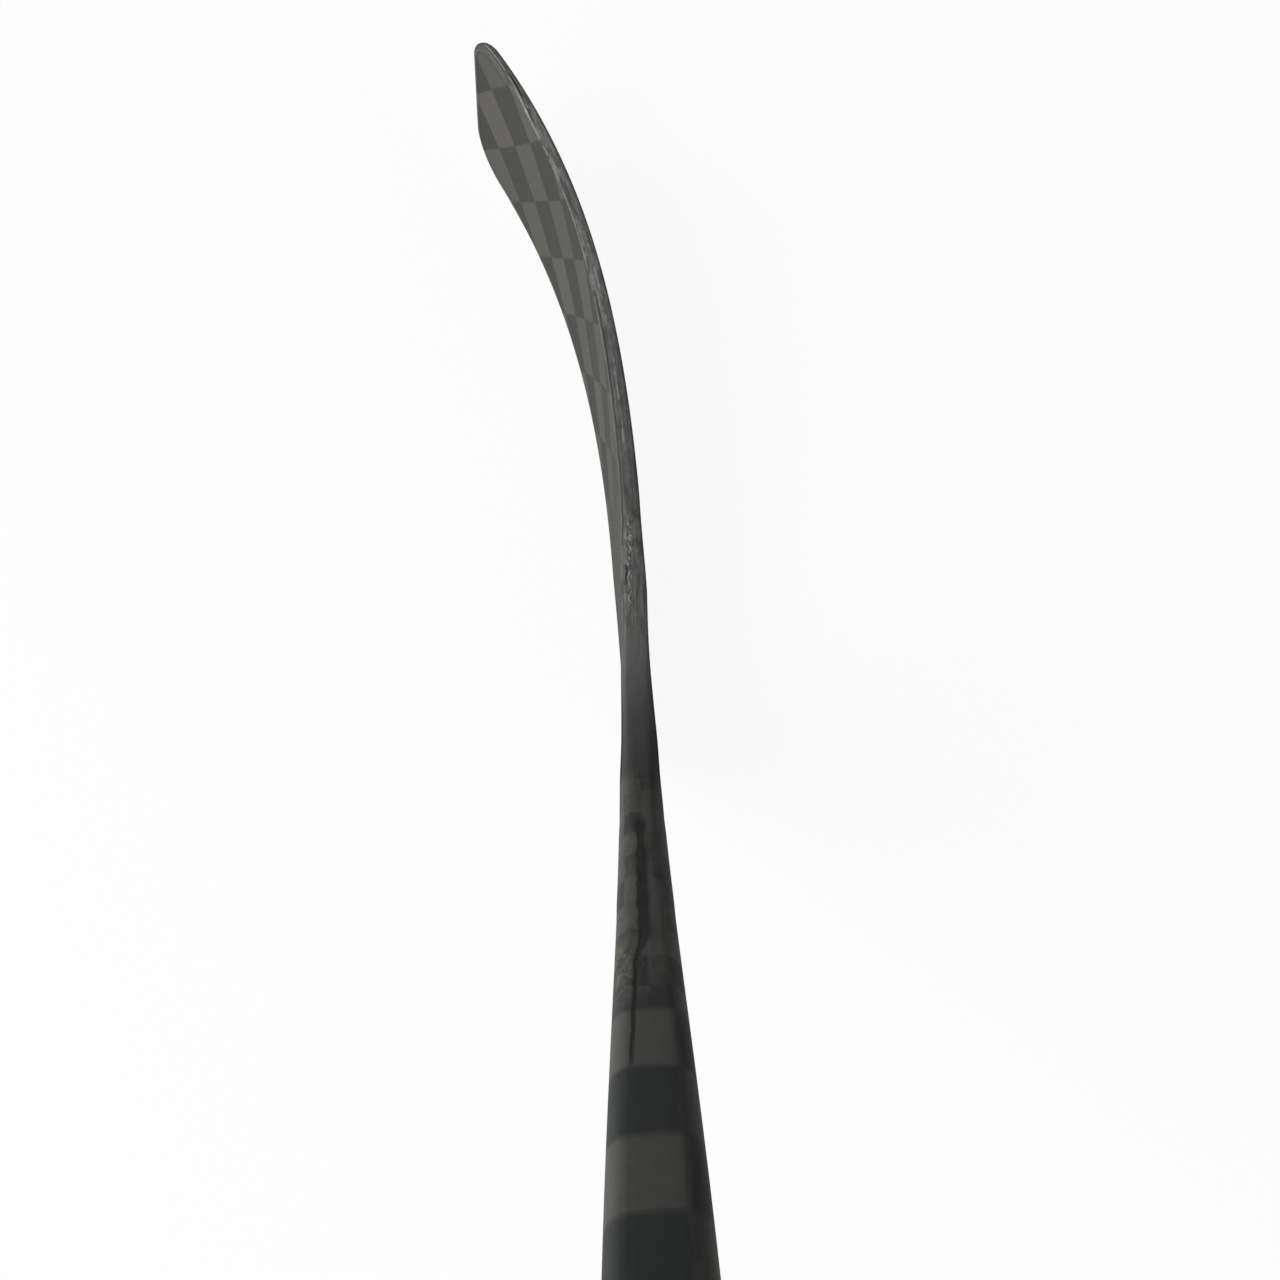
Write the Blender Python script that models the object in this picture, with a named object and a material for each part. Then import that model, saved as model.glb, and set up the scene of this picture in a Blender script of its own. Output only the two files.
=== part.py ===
"""Ice hockey stick: a bare carbon composite stick with a toe curve.

All dimensions are in millimetres and are turned into metres when vertices are made.
+X runs from heel to toe, +Y to the forehand side and +Z up, with the sole on the ice.
Shapes are worked out in the heel's frame, where the shaft's axis meets the ice at zero.
An empty moves them so that the origin is the middle of the top hand's grip.
"""
import math

import bmesh
import bpy

MM = 0.001

# Shaft
LIE_ANGLE = 46.3            # between the shaft and the ice, in degrees
SHAFT_LENGTH = 1524.0       # along the axis, from the ice to the butt
SHAFT_WIDTH = 20.0          # narrow face
SHAFT_HEIGHT = 30.0         # wide face
NECK_WIDTH = 12.6
NECK_HEIGHT = 27.0
TAPER_START = 80.0          # along the axis from the ice
TAPER_END = 312.0
SHAFT_WALL = 1.6
CORNER_RADIUS = 4.5
CORNER_SHARE = 0.32         # most of a narrow shaft's width that one corner takes up
INNER_RADIUS = 0.6          # least radius of a corner inside the bore
GRIP_FROM_BUTT = 100.0      # middle of the top hand

# End plug
PLUG_HEAD = 5.0
PLUG_BEVEL = 0.8
PLUG_STEM = 42.0
PLUG_RIBS = 3
PLUG_RIB_WIDTH = 3.0
PLUG_RIB_HEIGHT = 1.0

# Fuse joint
TENON_LENGTH = 60.0
JOINT_ABOVE_NECK = 26.0
WRAP_ABOVE_NECK = 1.0
WRAP_LENGTH = 56.0
WRAP_THICKNESS = 0.5

# Blade
TOE = 260.5                 # along the ice from the shaft's axis
TOP_HEIGHT = 60.5           # of the top edge at the heel
TOP_RISE = 0.073            # rise of the top edge per unit of length
ROCKER_START = 60.0
ROCKER_RADIUS = 1560.0
TOP_FILLET = 36.0           # between the shaft's front and the top edge
HEEL_ROUND = 28.0
HOSEL_END = 20.0
HEEL_THICKNESS = 6.7
TOE_THICKNESS = 4.0
HEEL_SWELL = 2.55           # extra thickness where the blade runs into the hosel
HEEL_SHIFT = 0.37           # of the mid-plane there, to the backhand side
SWELL_FROM = 51.0
SWELL_RUN = 40.0
SHIFT_FROM = -49.0
SHIFT_RUN = 20.0
RIDGE = 0.6                 # extra thickness of the forehand side along the top edge
RIDGE_RUN = 25.0
RIDGE_FADE = 95.0           # where the ridge starts to die out towards the toe
FADE_RUN = 90.0
CURVE_START = -1.0
CURVE_OFFSET = 51.45        # sideways, at the toe
CURVE_POWER = 2.93
LOFT_ANGLE = 5.0            # in degrees, the sole leading on the forehand side
LOFT_START = -10.0
LOFT_RUN = 70.0
TWIST_HEIGHT = 35.0         # height of the line that the loft turns about
TOE_RAKE = 0.04             # forward lean of the toe's lower end
RAKE_RUN = 116.0            # length over which the lean builds up
TOE_TOP_RADIUS = 11.5
TOE_LOW_RADIUS = 19.5
RIM = 4.0                   # depth of the edge rails
EDGE_RADIUS = 1.0
NOSE_RADIUS = 1.8           # of the same edges round the toe
NOSE_RUN = 34.0
EDGE_SHARE = 0.45           # most of the thickness that one edge takes up
SKIN = 0.8
RIB = 1.2

GAP = 0.3                   # adhesive line between neighbouring pieces
PANEL_STATIONS = 34
TOE_STATIONS = 11
FAN_STATIONS = 26
BEND_STEPS = 20
ARC_STEPS = 11
CORNER_STEPS = 5
EDGE_STEPS = 3

COS_LIE = math.cos(math.radians(LIE_ANGLE))
SIN_LIE = math.sin(math.radians(LIE_ANGLE))
TOP_ANGLE = math.atan(TOP_RISE)
GRIP_ALONG = SHAFT_LENGTH - GRIP_FROM_BUTT


def smooth(t):
    """Blend from 0 to 1 with level ends."""
    t = min(1.0, max(0.0, t))
    return t * t * (3.0 - 2.0 * t)


def shaft_point(along, across):
    """Point (x, z) at a distance up the axis and an offset toward the shaft's front."""
    return (-along * COS_LIE + across * SIN_LIE, along * SIN_LIE + across * COS_LIE)


def taper(along):
    return smooth((along - TAPER_START) / (TAPER_END - TAPER_START))


def shaft_width(along):
    return NECK_WIDTH + (SHAFT_WIDTH - NECK_WIDTH) * taper(along)


def shaft_height(along):
    return NECK_HEIGHT + (SHAFT_HEIGHT - NECK_HEIGHT) * taper(along)


def shaft_radius(along):
    return min(CORNER_RADIUS, CORNER_SHARE * shaft_width(along))


def top_line(x):
    return TOP_HEIGHT + TOP_RISE * x


def sole_line(x):
    return max(0.0, x - ROCKER_START) ** 2 / (2.0 * ROCKER_RADIUS)


def sole_slope(x):
    return max(0.0, x - ROCKER_START) / ROCKER_RADIUS


def swell(x):
    return smooth((SWELL_FROM - x) / SWELL_RUN)


def thickness(x):
    t = min(1.0, max(0.0, x / TOE))
    return TOE_THICKNESS + (HEEL_THICKNESS - TOE_THICKNESS) * (1.0 - t) ** 2 + HEEL_SWELL * swell(x)


def centre_line(x):
    t = max(0.0, x - CURVE_START) / (TOE - CURVE_START)
    return CURVE_OFFSET * t ** CURVE_POWER


def centre_slope(x):
    t = max(0.0, x - CURVE_START) / (TOE - CURVE_START)
    return CURVE_OFFSET * CURVE_POWER * t ** (CURVE_POWER - 1.0) / (TOE - CURVE_START)


def ridge(x, z):
    """Thickness added on the forehand side, none at the ice and most at the top edge."""
    rise = smooth((x - HOSEL_END) / RIDGE_RUN)
    fade = 1.0 - smooth((x - RIDGE_FADE) / FADE_RUN)
    return RIDGE * rise * fade * max(0.0, z) / TOP_HEIGHT


def place(x, z, off):
    """Bend a flat blade point (x, z) and its offset from the mid-plane into space."""
    off += ridge(x, z) * (0.5 + off / thickness(x))
    rake = TOE_RAKE * smooth((x - TOE + RAKE_RUN) / RAKE_RUN)
    lean = math.tan(math.radians(LOFT_ANGLE)) * smooth((x - LOFT_START) / LOFT_RUN)
    drop = TWIST_HEIGHT - z
    stretch = math.sqrt(1.0 + centre_slope(x) ** 2)
    shift = HEEL_SHIFT * swell(x) * smooth((x - SHIFT_FROM) / SHIFT_RUN)
    return (x + rake * drop, centre_line(x) + lean * drop - shift + off * stretch, z)


def rounded_section(length, width, radius):
    """Rounded rectangle as pairs: distance along its length, offset across it."""
    centres = ((length - radius, width / 2 - radius, 0.0), (radius, width / 2 - radius, 90.0),
               (radius, radius - width / 2, 180.0), (length - radius, radius - width / 2, 270.0))
    pairs = []
    for mid_along, mid_off, start in centres:
        for step in range(CORNER_STEPS + 1):
            angle = math.radians(start + 90.0 * step / CORNER_STEPS)
            pairs.append((mid_along + radius * math.cos(angle), mid_off + radius * math.sin(angle)))
    return pairs


def ring_between(low, high, width, radius):
    """Ring of a rounded section standing on the line from low to high, each (x, z)."""
    length = math.dist(low, high)
    step_x = (high[0] - low[0]) / length
    step_z = (high[1] - low[1]) / length
    ring = []
    for along, off in rounded_section(length, width, radius):
        ring.append(place(low[0] + along * step_x, low[1] + along * step_z, off))
    return ring


def shaft_ring(along, inset):
    """Ring of the shaft's section, shrunk all round by an inset."""
    half = shaft_height(along) / 2 - inset
    radius = max(INNER_RADIUS, shaft_radius(along) - inset)
    low = shaft_point(along, -half)
    high = shaft_point(along, half)
    return ring_between(low, high, shaft_width(along) - 2 * inset, radius)


def resample(points, count):
    """Evenly spaced points along a polyline."""
    reach = [0.0]
    for a, b in zip(points, points[1:]):
        reach.append(reach[-1] + math.dist(a, b))
    result = []
    index = 0
    for step in range(count):
        target = reach[-1] * step / (count - 1)
        while index < len(points) - 2 and reach[index + 1] < target:
            index += 1
        share = (target - reach[index]) / (reach[index + 1] - reach[index])
        a = points[index]
        b = points[index + 1]
        result.append((a[0] + (b[0] - a[0]) * share, a[1] + (b[1] - a[1]) * share))
    return result


def bend(start, corner, end, steps):
    """Smooth bend that leaves start toward corner and arrives at end."""
    points = []
    for step in range(steps + 1):
        t = step / steps
        shares = ((1 - t) ** 2, 2 * t * (1 - t), t * t)
        points.append(tuple(sum(share * spot[axis] for share, spot in zip(shares, (start, corner, end)))
                            for axis in (0, 1)))
    return points


# Where the shaft's front line meets the top edge, and its back line the ice
TOP_CORNER_X = (NECK_HEIGHT / 2 - TOP_HEIGHT * COS_LIE) / (SIN_LIE + TOP_RISE * COS_LIE)
TOP_CORNER = (TOP_CORNER_X, top_line(TOP_CORNER_X))
HEEL_CORNER = (-NECK_HEIGHT / 2 / SIN_LIE, 0.0)
NECK_ALONG = -TOP_CORNER[0] * COS_LIE + TOP_CORNER[1] * SIN_LIE + TOP_FILLET
JOINT_ALONG = NECK_ALONG + JOINT_ABOVE_NECK


def fan_lines():
    """Lower and upper ends of the hosel's sections, from the neck to the blade."""
    half = shaft_height(NECK_ALONG) / 2
    high_start = shaft_point(NECK_ALONG, half)
    high_end = (TOP_CORNER[0] + TOP_FILLET, top_line(TOP_CORNER[0] + TOP_FILLET))
    high = bend(high_start, TOP_CORNER, high_end, BEND_STEPS)
    high.append((HOSEL_END, top_line(HOSEL_END)))
    low_start = (HEEL_CORNER[0] - HEEL_ROUND * COS_LIE, HEEL_ROUND * SIN_LIE)
    low = [shaft_point(NECK_ALONG, -half)]
    low += bend(low_start, HEEL_CORNER, (HEEL_CORNER[0] + HEEL_ROUND, 0.0), BEND_STEPS)
    low.append((HOSEL_END, 0.0))
    return resample(low, FAN_STATIONS), resample(high, FAN_STATIONS)


def top_arc():
    """Centre of the toe's upper corner and the angle where its arc starts."""
    x = TOE - TOE_TOP_RADIUS
    return x, top_line(x) - TOE_TOP_RADIUS / math.cos(TOP_ANGLE), math.pi / 2 + TOP_ANGLE


def low_arc():
    """Centre of the toe's lower corner and the angle where its arc ends."""
    x = TOE - TOE_LOW_RADIUS
    for _ in range(6):
        slope = sole_slope(x)
        x = TOE - TOE_LOW_RADIUS + TOE_LOW_RADIUS * slope / math.hypot(1.0, slope)
    slope = sole_slope(x)
    centre_z = sole_line(x) + TOE_LOW_RADIUS / math.hypot(1.0, slope)
    return TOE - TOE_LOW_RADIUS, centre_z, math.atan(slope) - math.pi / 2


def arc_path(centre_x, centre_z, radius, start, end, steps):
    path = []
    for step in range(steps + 1):
        angle = start + (end - start) * step / steps
        nx = math.cos(angle)
        nz = math.sin(angle)
        path.append((centre_x + radius * nx, centre_z + radius * nz, -nx, -nz))
    return path


def top_path():
    """Top edge from the hosel to the toe's face: points with inward directions."""
    centre_x, centre_z, start = top_arc()
    first = HOSEL_END + GAP
    last = centre_x + TOE_TOP_RADIUS * math.cos(start)
    path = []
    for step in range(PANEL_STATIONS):
        x = first + (last - first) * step / PANEL_STATIONS
        path.append((x, top_line(x), math.sin(TOP_ANGLE), -math.cos(TOP_ANGLE)))
    return path + arc_path(centre_x, centre_z, TOE_TOP_RADIUS, start, 0.0, ARC_STEPS)


def toe_path():
    """Straight face of the toe, between the two rounded corners."""
    high = top_arc()[1] - GAP
    low = low_arc()[1] + GAP
    path = []
    for step in range(4):
        path.append((TOE, high + (low - high) * step / 3, -1.0, 0.0))
    return path


def sole_path():
    """Lower corner of the toe and the sole, back to the hosel."""
    centre_x, centre_z, end = low_arc()
    path = arc_path(centre_x, centre_z, TOE_LOW_RADIUS, 0.0, end, ARC_STEPS)
    first = path[-1][0]
    last = HOSEL_END + GAP
    for step in range(1, PANEL_STATIONS + 1):
        x = first + (last - first) * step / PANEL_STATIONS
        slope = sole_slope(x)
        path.append((x, sole_line(x), -slope / math.hypot(1.0, slope), 1.0 / math.hypot(1.0, slope)))
    return path


def edge_radius(x):
    """Radius of the rails' outer edges, fuller round the toe."""
    radius = EDGE_RADIUS + (NOSE_RADIUS - EDGE_RADIUS) * smooth((x - TOE + NOSE_RUN) / NOSE_RUN)
    return min(radius, EDGE_SHARE * thickness(x))


def rail_profile(radius):
    """Section of a rail: depth from its outer edge, side, and inset from that side."""
    half = [(RIM, 0.0)]
    for step in range(EDGE_STEPS + 1):
        angle = math.pi / 2 * step / EDGE_STEPS
        half.append((radius * (1.0 - math.sin(angle)), radius * (1.0 - math.cos(angle))))
    near = [(depth, -1, inset) for depth, inset in half]
    return near + [(depth, 1, inset) for depth, inset in reversed(half)]


def rail_rings(path):
    """Rings of an edge rail with its two outer edges rounded."""
    rings = []
    for x, z, nx, nz in path:
        ring = []
        for depth, side, inset in rail_profile(edge_radius(x)):
            px = x + depth * nx
            pz = z + depth * nz
            ring.append(place(px, pz, side * (thickness(px) / 2 - inset)))
        rings.append(ring)
    return rings


def panel_stations():
    """Distances along the blade for the skins and cores, closer together at the toe."""
    first = HOSEL_END + GAP
    turn = TOE - TOE_LOW_RADIUS
    last = TOE - RIM - GAP
    stations = []
    for step in range(PANEL_STATIONS):
        stations.append(first + (turn - first) * step / PANEL_STATIONS)
    for step in range(TOE_STATIONS + 1):
        stations.append(turn + (last - turn) * math.sin(math.pi / 2 * step / TOE_STATIONS))
    return stations


def panel_top(x):
    """Upper limit of the skins and cores, inside the top rail."""
    centre_x, centre_z, start = top_arc()
    inset = RIM + GAP
    radius = TOE_TOP_RADIUS - inset
    if x > centre_x + radius * math.cos(start):
        return centre_z + math.sqrt(max(0.0, radius ** 2 - (x - centre_x) ** 2))
    return top_line(x) - inset / math.cos(TOP_ANGLE)


def panel_bottom(x):
    """Lower limit of the skins and cores, inside the sole rail."""
    centre_x, centre_z, end = low_arc()
    inset = RIM + GAP
    radius = TOE_LOW_RADIUS - inset
    if x > centre_x + radius * math.cos(end):
        return centre_z - math.sqrt(max(0.0, radius ** 2 - (x - centre_x) ** 2))
    return sole_line(x) + inset * math.hypot(1.0, sole_slope(x))


def rib_height(x):
    """Height of the rib, which runs midway up the blade and parallel to its top edge."""
    middle = TOE / 2
    return (panel_top(middle) + panel_bottom(middle)) / 2 + TOP_RISE * (x - middle)


def panel_rings(low_at, high_at, near_at, far_at):
    """Four-cornered rings of a piece between two heights and two offsets."""
    rings = []
    for x in panel_stations():
        low = low_at(x)
        high = high_at(x)
        near = near_at(x)
        far = far_at(x)
        rings.append([place(x, low, near), place(x, high, near), place(x, high, far), place(x, low, far)])
    return rings


def skin_outside(x):
    return thickness(x) / 2


def skin_inside(x):
    return thickness(x) / 2 - SKIN


def core_side(x):
    return thickness(x) / 2 - SKIN - GAP


def add_rings(mesh, rings):
    """Add rings of vertices and the faces between each ring and the next."""
    rows = []
    for ring in rings:
        rows.append([mesh.verts.new((x * MM, y * MM, z * MM)) for x, y, z in ring])
    for row, following in zip(rows, rows[1:]):
        for index in range(len(row)):
            after = (index + 1) % len(row)
            mesh.faces.new((row[index], row[after], following[after], following[index]))
    return rows


def make_object(name, mesh, look, parent):
    """Finish a closed mesh and link it as a named object under the parent."""
    bmesh.ops.recalc_face_normals(mesh, faces=mesh.faces)
    data = bpy.data.meshes.new(name)
    mesh.to_mesh(data)
    mesh.free()
    data.shade_smooth()
    data.set_sharp_from_angle(angle=math.radians(30.0))
    data.materials.append(look)
    item = bpy.data.objects.new(name, data)
    item.parent = parent
    bpy.context.scene.collection.objects.link(item)
    return item


def make_solid(name, rings, look, parent):
    """Closed solid that runs through a list of rings."""
    mesh = bmesh.new()
    rows = add_rings(mesh, rings)
    mesh.faces.new(rows[0])
    mesh.faces.new(rows[-1])
    return make_object(name, mesh, look, parent)


def make_tube(name, outer, inner, look, parent):
    """Open-ended tube between outer and inner rings."""
    mesh = bmesh.new()
    outer_rows = add_rings(mesh, outer)
    inner_rows = add_rings(mesh, inner)
    for row, facing in ((outer_rows[0], inner_rows[0]), (outer_rows[-1], inner_rows[-1])):
        for index in range(len(row)):
            after = (index + 1) % len(row)
            mesh.faces.new((row[index], row[after], facing[after], facing[index]))
    return make_object(name, mesh, look, parent)


def make_look(name, colour, roughness):
    look = bpy.data.materials.new(name)
    look.use_nodes = True
    shader = look.node_tree.nodes["Principled BSDF"]
    shader.inputs["Base Color"].default_value = (*colour, 1.0)
    shader.inputs["Roughness"].default_value = roughness
    shader.inputs["Metallic"].default_value = 0.0
    return look


def spread(first, last, count):
    return [first + (last - first) * step / (count - 1) for step in range(count)]


def make_shaft(look, parent):
    butt = SHAFT_LENGTH - PLUG_HEAD - GAP
    stations = spread(JOINT_ALONG, TAPER_END, 12) + [butt]
    outer = [shaft_ring(along, 0.0) for along in stations]
    inner = [shaft_ring(along, SHAFT_WALL) for along in stations]
    return make_tube("shaft_tube", outer, inner, look, parent)


def make_plug(look, parent):
    """Head that closes the butt, and a ribbed stem glued into the bore."""
    rings = [shaft_ring(SHAFT_LENGTH, PLUG_BEVEL), shaft_ring(SHAFT_LENGTH - PLUG_BEVEL, 0.0)]
    head = SHAFT_LENGTH - PLUG_HEAD
    rib = SHAFT_WALL + GAP
    core = rib + PLUG_RIB_HEIGHT
    rings += [shaft_ring(head, 0.0), shaft_ring(head, core)]
    pitch = PLUG_STEM / PLUG_RIBS
    for index in range(PLUG_RIBS):
        middle = head - pitch * (index + 0.5)
        upper = middle + PLUG_RIB_WIDTH / 2
        lower = middle - PLUG_RIB_WIDTH / 2
        rings += [shaft_ring(upper, core), shaft_ring(upper, rib)]
        rings += [shaft_ring(lower, rib), shaft_ring(lower, core)]
    rings.append(shaft_ring(head - PLUG_STEM, core))
    return make_solid("end_plug", rings, look, parent)


def make_wrap(look, parent):
    """Thin sleeve of carbon wound over the joint between shaft and hosel."""
    start = NECK_ALONG + WRAP_ABOVE_NECK
    stations = spread(start, start + WRAP_LENGTH, 6)
    outer = [shaft_ring(along, -GAP - WRAP_THICKNESS) for along in stations]
    inner = [shaft_ring(along, -GAP) for along in stations]
    return make_tube("fuse_wrap", outer, inner, look, parent)


def make_hosel(look, parent):
    """Tenon in the shaft's bore, the neck, and the heel down to the blade's panel."""
    inset = SHAFT_WALL + GAP
    shoulder = JOINT_ALONG - GAP
    rings = [shaft_ring(along, inset) for along in spread(JOINT_ALONG + TENON_LENGTH, shoulder, 5)]
    rings += [shaft_ring(along, 0.0) for along in spread(shoulder, NECK_ALONG, 4)][:-1]
    low, high = fan_lines()
    for index in range(FAN_STATIONS):
        share = smooth(index / (FAN_STATIONS - 1))
        width = shaft_width(NECK_ALONG) * (1 - share) + thickness(HOSEL_END) * share
        radius = shaft_radius(NECK_ALONG) * (1 - share) + EDGE_RADIUS * share
        rings.append(ring_between(low[index], high[index], width, radius))
    return make_solid("blade_hosel", rings, look, parent)


def make_blade(carbon, rail, foam, parent):
    """Edge rails, skins, foam cores and the rib between them."""
    make_solid("top_rail", rail_rings(top_path()), rail, parent)
    make_solid("toe_rail", rail_rings(toe_path()), rail, parent)
    make_solid("sole_rail", rail_rings(sole_path()), rail, parent)
    fore = panel_rings(panel_bottom, panel_top, skin_outside, skin_inside)
    make_solid("forehand_skin", fore, carbon, parent)
    back = panel_rings(panel_bottom, panel_top, lambda x: -skin_inside(x), lambda x: -skin_outside(x))
    make_solid("backhand_skin", back, carbon, parent)
    over = RIB / 2 + GAP
    upper = panel_rings(lambda x: rib_height(x) + over, panel_top, core_side, lambda x: -core_side(x))
    make_solid("upper_core", upper, foam, parent)
    lower = panel_rings(panel_bottom, lambda x: rib_height(x) - over, core_side, lambda x: -core_side(x))
    make_solid("lower_core", lower, foam, parent)
    rib = panel_rings(lambda x: rib_height(x) - RIB / 2, lambda x: rib_height(x) + RIB / 2,
                      core_side, lambda x: -core_side(x))
    make_solid("centre_rib", rib, carbon, parent)


def main():
    for item in list(bpy.data.objects):
        bpy.data.objects.remove(item, do_unlink=True)
    heel = bpy.data.objects.new("heel_frame", None)
    grip_x, grip_z = shaft_point(GRIP_ALONG, 0.0)
    heel.location = (-grip_x * MM, 0.0, -grip_z * MM)
    bpy.context.scene.collection.objects.link(heel)
    make_shaft(make_look("shaft_carbon", (0.035, 0.034, 0.032), 0.35), heel)
    make_plug(make_look("plug_plastic", (0.02, 0.02, 0.02), 0.55), heel)
    make_wrap(make_look("wrap_carbon", (0.035, 0.035, 0.033), 0.5), heel)
    make_hosel(make_look("hosel_carbon", (0.04, 0.04, 0.037), 0.45), heel)
    make_blade(make_look("blade_carbon", (0.1, 0.1, 0.09), 0.4),
               make_look("edge_carbon", (0.09, 0.09, 0.085), 0.45),
               make_look("core_foam", (0.75, 0.7, 0.55), 0.8), heel)
    bpy.context.view_layer.update()


main()
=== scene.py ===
import math

import bmesh
import bpy
from mathutils import Euler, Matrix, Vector


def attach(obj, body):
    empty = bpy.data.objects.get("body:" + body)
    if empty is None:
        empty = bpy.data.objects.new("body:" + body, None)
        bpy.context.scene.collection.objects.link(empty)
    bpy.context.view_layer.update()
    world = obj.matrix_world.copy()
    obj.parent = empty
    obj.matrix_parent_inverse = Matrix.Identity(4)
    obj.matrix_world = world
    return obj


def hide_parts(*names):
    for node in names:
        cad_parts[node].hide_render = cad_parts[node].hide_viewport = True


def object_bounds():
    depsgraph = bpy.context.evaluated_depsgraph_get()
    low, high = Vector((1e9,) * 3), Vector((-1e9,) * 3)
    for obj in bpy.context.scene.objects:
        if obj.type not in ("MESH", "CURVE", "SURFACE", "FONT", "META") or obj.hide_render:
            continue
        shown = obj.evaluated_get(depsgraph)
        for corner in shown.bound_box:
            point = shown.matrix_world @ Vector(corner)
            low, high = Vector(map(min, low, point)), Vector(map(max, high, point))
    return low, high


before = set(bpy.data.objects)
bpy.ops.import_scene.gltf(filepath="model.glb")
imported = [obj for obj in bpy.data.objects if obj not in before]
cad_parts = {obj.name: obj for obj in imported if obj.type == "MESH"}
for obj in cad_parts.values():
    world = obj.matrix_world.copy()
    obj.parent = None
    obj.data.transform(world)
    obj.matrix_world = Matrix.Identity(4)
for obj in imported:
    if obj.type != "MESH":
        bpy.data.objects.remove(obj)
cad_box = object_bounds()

MM = 0.001

# The stick's dimensions, in millimetres in the heel's frame, as the CAD model has them
LIE_ANGLE = math.radians(46.3)
SHAFT_LENGTH = 1524.0
SHAFT_WIDTH = 20.0
SHAFT_HEIGHT = 30.0
NECK_WIDTH = 12.6
NECK_HEIGHT = 27.0
TAPER_START = 80.0
TAPER_END = 312.0
SHAFT_WALL = 1.6
CORNER_RADIUS = 4.5
CORNER_SHARE = 0.32
INNER_RADIUS = 0.6
GRIP_FROM_BUTT = 100.0
PLUG_HEAD = 5.0
PLUG_STEM = 42.0
PLUG_RIBS = 3
TENON_LENGTH = 60.0
JOINT_ABOVE_NECK = 26.0
WRAP_ABOVE_NECK = 1.0
WRAP_LENGTH = 56.0
TOE = 260.5
TOP_HEIGHT = 60.5
TOP_RISE = 0.073
ROCKER_START = 60.0
ROCKER_RADIUS = 1560.0
TOP_FILLET = 36.0
HEEL_ROUND = 28.0
HOSEL_END = 20.0
HEEL_THICKNESS = 6.7
TOE_THICKNESS = 4.0
HEEL_SWELL = 2.55
HEEL_SHIFT = 0.37
SWELL_FROM = 51.0
SWELL_RUN = 40.0
SHIFT_FROM = -49.0
SHIFT_RUN = 20.0
RIDGE = 0.6
RIDGE_RUN = 25.0
RIDGE_FADE = 95.0
FADE_RUN = 90.0
CURVE_START = -1.0
CURVE_OFFSET = 51.45
CURVE_POWER = 2.93
LOFT = math.tan(math.radians(5.0))
LOFT_START = -10.0
LOFT_RUN = 70.0
TWIST_HEIGHT = 35.0
TOE_RAKE = 0.04
RAKE_RUN = 116.0
TOE_TOP_RADIUS = 11.5
TOE_LOW_RADIUS = 19.5
RIM = 4.0
EDGE_RADIUS = 1.0
NOSE_RADIUS = 1.8
NOSE_RUN = 34.0
SKIN = 0.8

# Closer than the CAD's glue lines, so that the fused seams look closed
SEAM = 0.04

# Slight swell of the shaft's front and back, and of the blade's outer edges
SHAFT_CROWN = 0.3
EDGE_CROWN = 0.35

# How far the wrap stands off the shaft: its inside, its outside at the two ends, and what
# its outside gains between them, over a distance from each end
WRAP_INSIDE = 0.01
WRAP_ENDS = 0.03
WRAP_PLY = 0.10
WRAP_THINNING = 9.0

# The plug: its ribs' play in the bore, their depth and half their width, its head's gap to the
# stick's full length and its inset, and the drops and insets of the head's rounded rim
PLUG_PLAY = 0.3
PLUG_RIB_DEPTH = 1.0
PLUG_RIB_HALF = 1.5
PLUG_GAP = 0.05
PLUG_INSET = 0.2
PLUG_RIM = ((0.0, 1.6), (0.0, 1.0), (0.25, 0.5), (0.8, PLUG_INSET))

# How finely the meshes are divided
CORNER_STEPS = 6
SIDE_SHARES = (0.25, 0.5, 0.75)
EDGE_STEPS = 5
EDGE_SHARES = (0.33, 0.67, 1.0)
BEND_STEPS = 40
SLOPE_ROUNDS = 6
RAIL_STATIONS = 81
TOE_STATIONS = 10
TOP_ARC_STEPS = 16
LOW_ARC_STEPS = 18
FACE_STATIONS = 80
FACE_TOE_STATIONS = 20
FACE_HEIGHTS = 7
TAPER_STATIONS = 60
SHAFT_STATIONS = 40
WRAP_STATIONS = 40
TENON_STATIONS = 8
NECK_STATIONS = 12
FAN_STATIONS = 72
SAME_POINT = 1e-7
SHARP_ANGLE = math.radians(40.0)

# The carbon's checks: their size, their turn from the shaft's line, and where they start.
# On the blade the cross tapes lie a little askew, and closer together.
CHECK = 21.75
CHECK_TURN = LIE_ANGLE + math.radians(1.17)
CHECK_ACROSS = 223.0
CROSS_CHECK = 20.02
CROSS_TURN = LIE_ANGLE + math.radians(8.73)
CROSS_ALONG = 131.7
SHAFT_CHECK_START = 209.2
SHAFT_CHECK_SIDE = 5.8

CHECKS_FROM = 55.0
CHECKS_RUN = 45.0
TOE_FROM = 205.0
TOE_RUN = 35.0
BARE_TOP_FROM = -36.0
BARE_TOP_RUN = 50.0
BARE_SIDE_FROM = -14.0
BARE_SIDE_RUN = 9.0
NECK_PLIES_FROM = 79.0
NECK_PLIES_RUN = 10.0
SHAFT_PLIES_END = 214.0
SHAFT_PLIES_RUN = 22.0
BAND_SOFT = 0.8

# Millimetres in one unit of the maps along the blade's edges and along the shaft
EDGE_UNIT = 10.0
SHAFT_UNIT = 100.0

# How far the edge map reaches down a rail's forehand side, in its units
RAIL_SIDE = 0.25

# Stretches of the edge map, as start, end and softness: flaked resin, a slit in it, calm resin,
# the whole groove, and the light line on the neck
FLAKE_SPAN = (-0.6, 2.5, 0.4)
SLIT_SPAN = (0.25, 0.95, 0.1)
CALM_SPAN = (3.0, 9.5, 1.0)
GROOVE_SPAN = (2.3, 10.4, 0.5)
NECK_LIP_SPAN = (-3.2, -0.6, 0.5)

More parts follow.
